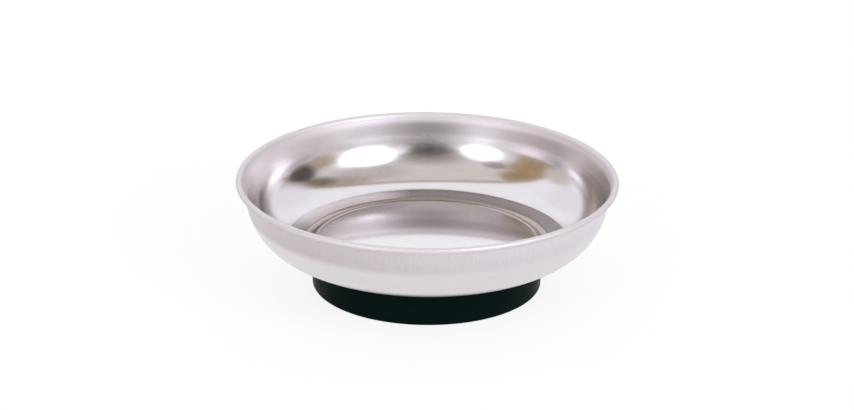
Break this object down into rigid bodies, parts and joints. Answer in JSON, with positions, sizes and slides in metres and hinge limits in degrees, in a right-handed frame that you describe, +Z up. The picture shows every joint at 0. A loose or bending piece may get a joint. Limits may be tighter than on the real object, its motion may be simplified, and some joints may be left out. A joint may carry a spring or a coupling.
{
  "type": "magnetic parts tray",
  "caption": "Round drawn steel dish with a rolled rim on a magnet base in a black rubber boot; holds small steel parts and grips a steel surface.",
  "frame": {"origin": "centre of the boot's flat underside, on the surface that the tray stands on", "axes": "+Z up along the tray's axis, out of the open dish; X and Y are free, because the tray is round"},
  "size_m": [0.15, 0.15, 0.044],
  "materials": {
    "dish_steel": "satin wall, polished disc",
    "stud_steel": "plain stainless",
    "cup_steel": "zinc plated",
    "ferrite": "ground ferrite",
    "resin": "cast epoxy",
    "zinc_steel": "zinc plated",
    "spring_steel": "zinc plated spring steel",
    "boot_rubber": "moulded satin"
  },
  "bodies": {
    "root": {"dish": "dish_steel", "weld_stud": "stud_steel", "magnet_cup": "cup_steel", "ring_magnet": "ferrite", "potting_ring": "resin", "flat_washer": "zinc_steel", "lock_washer": "spring_steel", "hex_nut": "zinc_steel", "rubber_boot": "boot_rubber"}
  },
  "joints": []
}
